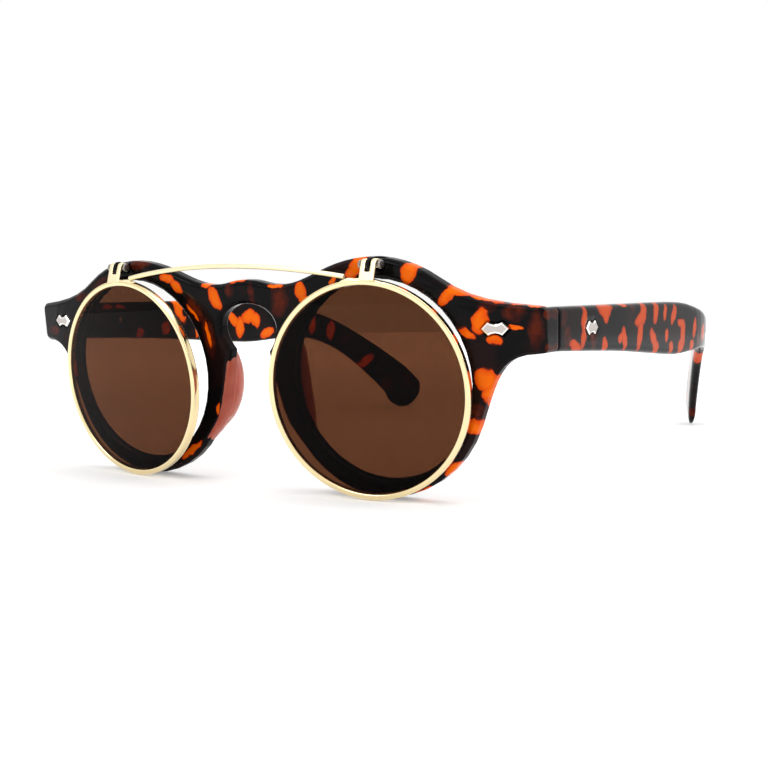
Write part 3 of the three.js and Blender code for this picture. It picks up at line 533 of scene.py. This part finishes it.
def skirted_pad(side, sign):
    """The pad of one side, with a skirt over the wall in front of it."""
    form = bmesh.new()
    form.from_mesh(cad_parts[f"{side}_nose_pad"].data)
    outer, inner = [], []
    for row in range(SKIRT_ROWS):
        down = row / (SKIRT_ROWS - 1)
        height = SKIRT_TOP + (SKIRT_BOTTOM - SKIRT_TOP) * down
        bulge = math.sin(math.pi * down)
        run_out = min(1, SKIRT_TAPER * down, SKIRT_TAPER * (1 - down))
        rear = SKIRT_END_BACK + (SKIRT_BACK - SKIRT_END_BACK) * run_out
        for column in range(SKIRT_COLUMNS):
            back = column / (SKIRT_COLUMNS - 1)
            depth = SKIRT_FRONT + (rear - SKIRT_FRONT) * back
            flare = SKIRT_FLARE * bulge * bulge * back * back
            cover = SKIRT_COVER - SKIRT_DIP * (1 - run_out) + flare
            hit = wall_tree.ray_cast(leaning(min(depth, WALL_BACK), height), Vector((sign, 0, 0)))[0]
            point = leaning(depth, height)
            outer.append(form.verts.new((hit.x - sign * cover, point.y, point.z)))
            inner.append(form.verts.new((hit.x + sign * SKIRT_DEPTH, point.y, point.z)))
    for row in range(SKIRT_ROWS - 1):
        for column in range(SKIRT_COLUMNS - 1):
            corners = [row * SKIRT_COLUMNS + column, row * SKIRT_COLUMNS + column + 1]
            corners += [corners[1] + SKIRT_COLUMNS, corners[0] + SKIRT_COLUMNS]
            for sheet in (outer, inner):
                form.faces.new([sheet[corner] for corner in corners])
    last_row = (SKIRT_ROWS - 1) * SKIRT_COLUMNS
    rim = list(range(SKIRT_COLUMNS))
    rim += [row * SKIRT_COLUMNS + SKIRT_COLUMNS - 1 for row in range(1, SKIRT_ROWS)]
    rim += [last_row + column for column in reversed(range(SKIRT_COLUMNS - 1))]
    rim += [row * SKIRT_COLUMNS for row in reversed(range(1, SKIRT_ROWS - 1))]
    for here, there in zip(rim, rim[1:] + rim[:1]):
        form.faces.new((outer[here], outer[there], inner[there], inner[here]))
    bmesh.ops.recalc_face_normals(form, faces=form.faces)
    mesh = bpy.data.meshes.new(f"{side}_pad")
    form.to_mesh(mesh)
    form.free()
    return moulded(f"{side}_pad", mesh, PAD_VOXEL, PAD_PASSES)


for side, sign in (("left", 1), ("right", -1)):
    show(skirted_pad(side, sign), "front", "red_brown", pad_plastic, f"{side}_nose_pad")

# %% [markdown]
# ## Metal finishes
# The wire is pale gold plating over brass, satin where it was tumbled. Wire, saddles and straps take a
# paler copy of the rims' gold, and that paler colour paints the white highlights they catch. The rivets
# are nickel silver, and the hinge pieces are near black. All are metallic shaders, and fine noise varies
# the roughness, so that highlights aren't perfect.

# %% Gold and silver
def plated(name, colour, dull, shiny, grain):
    """A metal finish whose roughness wanders between two values."""
    material, tree, shader = new_finish(name, Metallic=1.0)
    shader.inputs["Base Color"].default_value = colour
    place = add_node(tree, "ShaderNodeTexCoord")
    noise = add_node(tree, "ShaderNodeTexNoise", Vector=place.outputs["Object"], Scale=grain, Detail=3.0)
    satin = stretched(tree, noise.outputs["Fac"], NOISE_LOW, NOISE_HIGH, shiny, dull)
    tree.links.new(satin, shader.inputs["Roughness"])
    return material


gold = plated("pale_gold", srgb(240, 220, 172), dull=0.18, shiny=0.11, grain=300)
# Paler than the rims' gold: this colour paints the white highlights on the wire, saddles and straps.
satin_gold_with_painted_highlight = plated("satin_gold_with_painted_highlight", srgb(248, 232, 192), dull=0.4, shiny=0.3, grain=300)
silver = plated("nickel_silver", srgb(192, 185, 180), dull=0.5, shiny=0.4, grain=1500)
# Paler than the rivets' satin silver: this colour paints the highlight on the polished bevel.
polished_silver_with_painted_highlight = plated("polished_silver_with_painted_highlight", srgb(252, 249, 245), dull=0.2, shiny=0.12, grain=600)
burnished = plated("burnished_nickel", srgb(150, 146, 142), dull=0.32, shiny=0.22, grain=900)
# The hinge bases and leaves are drawn near black.
dark_metal = plated("near_black_steel", srgb(28, 25, 25), dull=0.5, shiny=0.4, grain=1500)
metals = (gold, satin_gold_with_painted_highlight, silver, polished_silver_with_painted_highlight, burnished, dark_metal)
print("metals:", [metal.name for metal in metals])

# %% [markdown]
# ## Rims and lenses
# A rim or a lens is a turned form, so its profile is drawn once and turned round an axis. The screw
# modifier could do that, but it needs an object axis for each lens. Here the points are placed in a loop,
# and the axis is read from the solid: it is the direction in which a flat round solid is thinnest.

# %% Turning helpers
SIDES = 144
LENS_RADIUS = 22 * MM
LENS_THICKNESS = 1.2 * MM
LENS_DOME = 300 * MM
LENS_RINGS = 10
LENS_EDGE = 0.05 * MM
RIM_WIDTH = 1.2 * MM
RIM_DEPTH = 1.8 * MM
RIM_CORNER = 0.34 * MM
CORNER_STEPS = 6
SAME_POINT = 0.0001 * MM
MICRON_DIGITS = 6


def round_frame(node):
    """A matrix whose Y axis is a round solid's axis, the solid's back end along it, and its radius."""
    corners = [v.co[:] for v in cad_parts[node].data.vertices]
    points = np.unique(np.round(corners, MICRON_DIGITS), axis=0)
    middle = (points.max(0) + points.min(0)) / 2
    axis = Vector(np.linalg.svd(points - points.mean(0))[2][2])
    axis = axis if axis.y > 0 else -axis
    along = (points - middle) @ np.array(axis)
    side = axis.cross(Vector((0, 0, 1))).normalized()
    turned = Matrix((side, axis, side.cross(axis))).transposed().to_4x4()
    radius = np.linalg.norm(np.cross(points - middle, np.array(axis)), axis=1).max()
    return Matrix.Translation(middle) @ turned, along.max(), radius


def turned_piece(name, profile, matrix, closed):
    """A piece whose profile, as (radius, along) points, is turned round the Y axis of a matrix."""
    form = bmesh.new()
    rings = []
    for step in range(SIDES):
        angle = 2 * math.pi * step / SIDES
        spoke = (math.cos(angle), math.sin(angle))
        rings.append([form.verts.new((r * spoke[0], along, r * spoke[1])) for r, along in profile])
    count = len(profile) if closed else len(profile) - 1
    for step in range(SIDES):
        here, there = rings[step], rings[(step + 1) % SIDES]
        for p in range(count):
            q = (p + 1) % len(profile)
            form.faces.new((here[p], here[q], there[q], there[p]))
    bmesh.ops.remove_doubles(form, verts=form.verts, dist=SAME_POINT)
    bmesh.ops.recalc_face_normals(form, faces=form.faces)
    form.transform(matrix)
    piece = piece_of(form, name)
    piece.data.shade_smooth()
    return piece


def rim_profile():
    """A band with four rounded corners."""
    outer = LENS_RADIUS + RIM_WIDTH - RIM_CORNER
    inner = LENS_RADIUS + RIM_CORNER
    half = RIM_DEPTH / 2 - RIM_CORNER
    points = []
    for quarter, (radius, along) in enumerate([(outer, half), (inner, half), (inner, -half), (outer, -half)]):
        for step in range(CORNER_STEPS + 1):
            angle = math.radians(90 * (quarter + step / CORNER_STEPS))
            points.append((radius + RIM_CORNER * math.cos(angle), along + RIM_CORNER * math.sin(angle)))
    return points


def lens_profile(radius, thickness, start):
    """A domed lens from its front middle, round its edge, to its back middle."""
    domed = [(radius - 3 * LENS_EDGE) * step / LENS_RINGS for step in range(LENS_RINGS + 1)]
    domed += [radius - 2 * LENS_EDGE, radius - LENS_EDGE]
    rise = [(radius * radius - r * r) / (2 * LENS_DOME) for r in domed]
    front = [(r, start - h) for r, h in zip(domed, rise)]
    back = [(r, start + thickness - h) for r, h in zip(domed, rise)]
    edge = [(radius, start + LENS_EDGE), (radius, start + thickness - LENS_EDGE)]
    return [*front, *edge, *reversed(back)]


print("rim profile has", len(rim_profile()), "points")

# %% [markdown]
# ## Tinted and clear lens finishes
# A lens is clear plastic right through, so its shader transmits all the light it doesn't reflect. The
# brown tint is the shader's colour.

# %% Lens finishes
LENS_GLOSS = 1.12
BROWN_TINT = srgb(86, 51, 31)
NO_TINT = (0.97, 0.97, 0.96, 1)


def lens_finish(name, tint):
    """A see-through finish of one tint."""
    material, _, shader = new_finish(name, Roughness=0.0, IOR=LENS_GLOSS, Transmission_Weight=1.0)
    shader.inputs["Base Color"].default_value = tint
    return material


brown_lens = lens_finish("brown_lens", BROWN_TINT)
clear_lens = lens_finish("clear_lens", NO_TINT)
print("lens finishes:", brown_lens.name, clear_lens.name)

# %% [markdown]
# Each rim, with the brown lens in it, shares the axis of its solid. The clear lens has an axis of its own,
# because the front leans and wraps a little round the face.

# %% Rims and lenses in place
LENS_IN_GROOVE = 0.05 * MM
for side in ("left", "right"):
    matrix, _, _ = round_frame(f"{side}_flip_rim")
    rim = turned_piece(f"{side}_wire_rim", rim_profile(), matrix, True)
    show(rim, "flip_up", "gold", gold, f"{side}_flip_rim")
    profile = lens_profile(LENS_RADIUS - LENS_IN_GROOVE, LENS_THICKNESS, -LENS_THICKNESS / 2)
    lens = turned_piece(f"{side}_brown_lens", profile, matrix, False)
    show(lens, "flip_up", "brown_tint", brown_lens, f"{side}_flip_lens")
    matrix, end, radius = round_frame(f"{side}_clear_lens")
    profile = lens_profile(radius, LENS_THICKNESS, end - LENS_THICKNESS)
    inner = turned_piece(f"{side}_inner_lens", profile, matrix, False)
    show(inner, "front", "clear", clear_lens, f"{side}_clear_lens")
    print(side, "inner lens radius:", round(radius / MM, 2), "mm")

# %% [markdown]
# ## Bridge wire
# One bowed wire joins the two rims. A curve with a round bevel is made for wire: three points of the
# solid, its two ends and its middle, fix the bow, and the curve is then turned into a mesh.

# %% Bridge wire
WIRE_RADIUS = 0.5 * MM
WIRE_POINTS = 25
WIRE_ROUNDNESS = 6
WIRE_TUCK = 1.2 * MM
END_SLICE = 0.2 * MM
MIDDLE_SLICE = 2 * MM
points = np.array([v.co[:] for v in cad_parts["flip_bridge"].data.vertices])
end_x = points[:, 0].max()
wire_end = points[points[:, 0] > end_x - END_SLICE].mean(0)
wire_middle = points[np.abs(points[:, 0]) < MIDDLE_SLICE].mean(0)
bow = wire_middle - wire_end
curve = bpy.data.curves.new("bridge_wire", "CURVE")
curve.dimensions = "3D"
curve.bevel_depth = WIRE_RADIUS
curve.bevel_resolution = WIRE_ROUNDNESS
curve.use_fill_caps = True
spline = curve.splines.new("POLY")
spline.points.add(WIRE_POINTS - 1)
for index, point in enumerate(spline.points):
    t = (2 * index / (WIRE_POINTS - 1) - 1) * (end_x + WIRE_TUCK) / end_x
    rise = 1 - t * t
    point.co = (t * end_x, wire_end[1] + bow[1] * rise, wire_end[2] + bow[2] * rise, 1)
rough = bpy.data.objects.new("bridge_wire_rough", curve)
scene.collection.objects.link(rough)
wire = finished(rough)
show(wire, "flip_up", "gold", satin_gold_with_painted_highlight, "flip_bridge")
print("bridge wire spans", round(2 * end_x / MM, 1), "mm")

# %% [markdown]
# ## Saddles
# A saddle is the thin plate on top of a rim to which wire and strap are soldered. It follows the rim, runs
# out to nothing at both ends and is thicker under the end of the wire. A rounded section is carried along
# the rim's circle in a loop, and the solid gives the angles between which it runs.

# %% Saddles
SADDLE_STEPS = 24
SADDLE_SIDES = 16
SADDLE_SUNK = 0.3 * MM
SADDLE_RISE = 0.2 * MM
LUG_RISE = 0.5 * MM
LUG_STARTS, LUG_FULL = 0.2, 0.6
SADDLE_HALF_WIDTH = 0.78 * MM
SADDLE_SQUARENESS = 0.5
SADDLE_RUN_OUT = 4


def squared(value):
    """A sine or cosine pushed outward, which makes a circle squarer."""
    return math.copysign(abs(value) ** SADDLE_SQUARENESS, value)


def saddle(side, sign):
    """A plate that lies on the rim, tapers toward its ends and carries the wire on the bridge side."""
    matrix, _, radius = round_frame(f"{side}_flip_rim")
    local = [matrix.inverted() @ v.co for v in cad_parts[f"{side}_flip_saddle"].data.vertices]
    angles = [math.atan2(point.z, point.x) for point in local]
    first, last = min(angles), max(angles)
    form = bmesh.new()
    rings = []
    for step in range(SADDLE_STEPS + 1):
        along = 2 * step / SADDLE_STEPS - 1
        angle = first + (last - first) * step / SADDLE_STEPS
        lug = min(1, max(0, (sign * along - LUG_STARTS) / (LUG_FULL - LUG_STARTS)))
        rise = SADDLE_RISE + (LUG_RISE - SADDLE_RISE) * lug * lug * (3 - 2 * lug)
        high = SADDLE_SUNK + rise * (1 - along ** SADDLE_RUN_OUT)
        ring = []
        for side_step in range(SADDLE_SIDES):
            turn = 2 * math.pi * side_step / SADDLE_SIDES
            out = radius - SADDLE_SUNK + high * (1 + squared(math.cos(turn))) / 2
            across = SADDLE_HALF_WIDTH * squared(math.sin(turn))
            ring.append(form.verts.new((out * math.cos(angle), across, out * math.sin(angle))))
        rings.append(ring)
    for here, there in zip(rings, rings[1:]):
        for p in range(SADDLE_SIDES):
            q = (p + 1) % SADDLE_SIDES
            form.faces.new((here[p], here[q], there[q], there[p]))
    form.faces.new(rings[0])
    form.faces.new(rings[-1])
    bmesh.ops.recalc_face_normals(form, faces=form.faces)
    form.transform(matrix)
    piece = piece_of(form, f"{side}_saddle")
    piece.data.shade_smooth()
    return piece


for side, sign in (("left", 1), ("right", -1)):
    show(saddle(side, sign), "flip_up", "gold", satin_gold_with_painted_highlight, f"{side}_flip_saddle")
    print(side, "saddle done")

# %% [markdown]
# ## Straps
# A strap is a strip of sheet metal with a slot. It is soldered to the front of the rim, leans back and
# curls over the hinge pin with two prongs. A strip is drawn as one sheet of faces along its path, without
# the faces of the slot. Then solidify gives it its thickness, and a bevel and subdivision round it.

# %% Straps
STRAP_WIDTH = 3.6 * MM
SLOT_WIDTH = 1.25 * MM
STRAP_THICKNESS = 0.5 * MM
STRAP_FORWARD = 0.7 * MM
SLOT_STARTS = 1.5 * MM
CURL_RADIUS = 0.95 * MM
CURL_FROM, CURL_TO = 155, -40
CURL_STEPS = 14
FOOT_STEPS = 10
TOP_SLICE = 0.2 * MM
STRAP_EDGE, EDGE_STEPS = 0.12 * MM, 2
SHARP_EDGE = math.radians(40)


def strap(side):
    """A slotted strip from the top of a rim over the pin of its hinge."""
    points = np.array([v.co[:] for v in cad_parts[f"{side}_flip_rim"].data.vertices])
    top = points[points[:, 2] > points[:, 2].max() - TOP_SLICE].mean(0)
    pin_low, pin_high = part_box(f"{side}_flip_hinge_pin")
    strap_low, strap_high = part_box(f"{side}_flip_strap")
    pin = (pin_low + pin_high) / 2
    middle = (strap_low.x + strap_high.x) / 2
    curl = []
    for step in range(CURL_STEPS + 1):
        angle = math.radians(CURL_FROM + (CURL_TO - CURL_FROM) * step / CURL_STEPS)
        curl.append((pin.y + CURL_RADIUS * math.cos(angle), pin.z + CURL_RADIUS * math.sin(angle)))
    foot = (top[1] - STRAP_FORWARD, top[2] - STRAP_THICKNESS)
    path = []
    for step in range(FOOT_STEPS):
        share = step / FOOT_STEPS
        path.append(tuple(a + (b - a) * share for a, b in zip(foot, curl[0])))
    path += curl
    edges = (-STRAP_WIDTH / 2, -SLOT_WIDTH / 2, SLOT_WIDTH / 2, STRAP_WIDTH / 2)
    form = bmesh.new()
    rows = [[form.verts.new((middle + edge, y, z)) for edge in edges] for y, z in path]
    for here, there, (y, z) in zip(rows, rows[1:], path[1:]):
        for column in range(len(edges) - 1):
            slotted = column == 1 and z > top[2] + SLOT_STARTS
            curled_back = column == 1 and y > pin.y
            if not slotted and not curled_back:
                form.faces.new((here[column], here[column + 1], there[column + 1], there[column]))
    mesh = bpy.data.meshes.new(f"{side}_strap")
    form.to_mesh(mesh)
    form.free()
    rough = bpy.data.objects.new(f"{side}_strap_rough", mesh)
    scene.collection.objects.link(rough)
    sheet = rough.modifiers.new("sheet", "SOLIDIFY")
    sheet.thickness = STRAP_THICKNESS
    sheet.offset = 0
    edge = rough.modifiers.new("edge", "BEVEL")
    edge.width = STRAP_EDGE
    edge.segments = EDGE_STEPS
    edge.angle_limit = SHARP_EDGE
    rounding = rough.modifiers.new("rounding", "SUBSURF")
    rounding.levels = 1
    return finished(rough)


for side in ("left", "right"):
    show(strap(side), "flip_up", "gold", satin_gold_with_painted_highlight, f"{side}_flip_strap")

# %% [markdown]
# ## Small metal pieces
# The bases, pins, leaves and screws are small stampings and turnings. They are moulded copies too, with
# much finer voxels than the plastic, so their edges stay tight. Each row ends with the size of the voxels in
# millimetres and the passes of smoothing.

# %% Pins and hinges
small_pieces = [
    ("hinge_base", "flip_hinge_base", "front", "dark_metal", dark_metal, 0.07, 3),
    ("hinge_pin", "flip_hinge_pin", "front", "silver", burnished, 0.06, 4),
    ("front_leaf", "front_hinge_leaf", "front", "dark_metal", dark_metal, 0.1, 3),
    ("temple_leaf", "temple_hinge_leaf", "temple_body", "dark_metal", dark_metal, 0.12, 3),
    ("hinge_screw", "temple_hinge_screw", "front", "silver", burnished, 0.08, 4),
]
for side in ("left", "right"):
    for label, node, body, slot, metal, voxel, passes in small_pieces:
        piece = moulded_copy(f"{side}_{label}", f"{side}_{node}", voxel * MM, passes)
        rider = f"{side}_{body}" if body == "temple_body" else body
        show(piece, rider, slot, metal, f"{side}_{node}")

# %% [markdown]
# ## Rivets
# The plaques of the rivets have a satin middle and a bright bevel all round. Here the copy keeps its
# crisp faces: the outermost face is found, only its edges are bevelled, and the bevel gets a finish of
# its own. That finish is polished, and its colour, paler than the middle's, paints the highlight round the
# plaque.

# %% Rivets
FRONT_BEVEL = 0.42 * MM
TEMPLE_BEVEL = 0.24 * MM
BEVEL_STEPS = 2
FACES_OUT = 0.7
FLAT_WITHIN = math.radians(1)


def bevelled_rivet(name, node, outward, body, width):
    """A copy of a rivet with a bright bevel round the face that looks outward."""
    form = bmesh.new()
    form.from_mesh(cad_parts[node].data)
    bmesh.ops.remove_doubles(form, verts=form.verts, dist=WELD_REACH)
    bmesh.ops.dissolve_limit(form, angle_limit=FLAT_WITHIN, verts=form.verts, edges=form.edges)
    facing = [face for face in form.faces if face.normal.dot(outward) > FACES_OUT]
    outer = max(facing, key=lambda face: face.calc_area())
    bevel = bmesh.ops.bevel(form, geom=list(outer.edges), offset=width, segments=BEVEL_STEPS, profile=0.5,
                            affect="EDGES")
    form.faces.index_update()
    bright = [face.index for face in bevel["faces"]]
    piece = piece_of(form, name)
    show(piece, body, "silver", silver, node)
    piece.data.materials.append(polished_silver_with_painted_highlight)
    for index in bright:
        piece.data.polygons[index].material_index = 1
    print(name, "has", len(bright), "bright faces")


for side, sign in (("left", 1), ("right", -1)):
    forward, sideways = Vector((0, -1, 0)), Vector((sign, 0, 0))
    bevelled_rivet(f"{side}_front_plaque", f"{side}_front_rivet", forward, "front", FRONT_BEVEL)
    bevelled_rivet(f"{side}_temple_plaque", f"{side}_temple_rivet", sideways, f"{side}_temple_body",
                   TEMPLE_BEVEL)
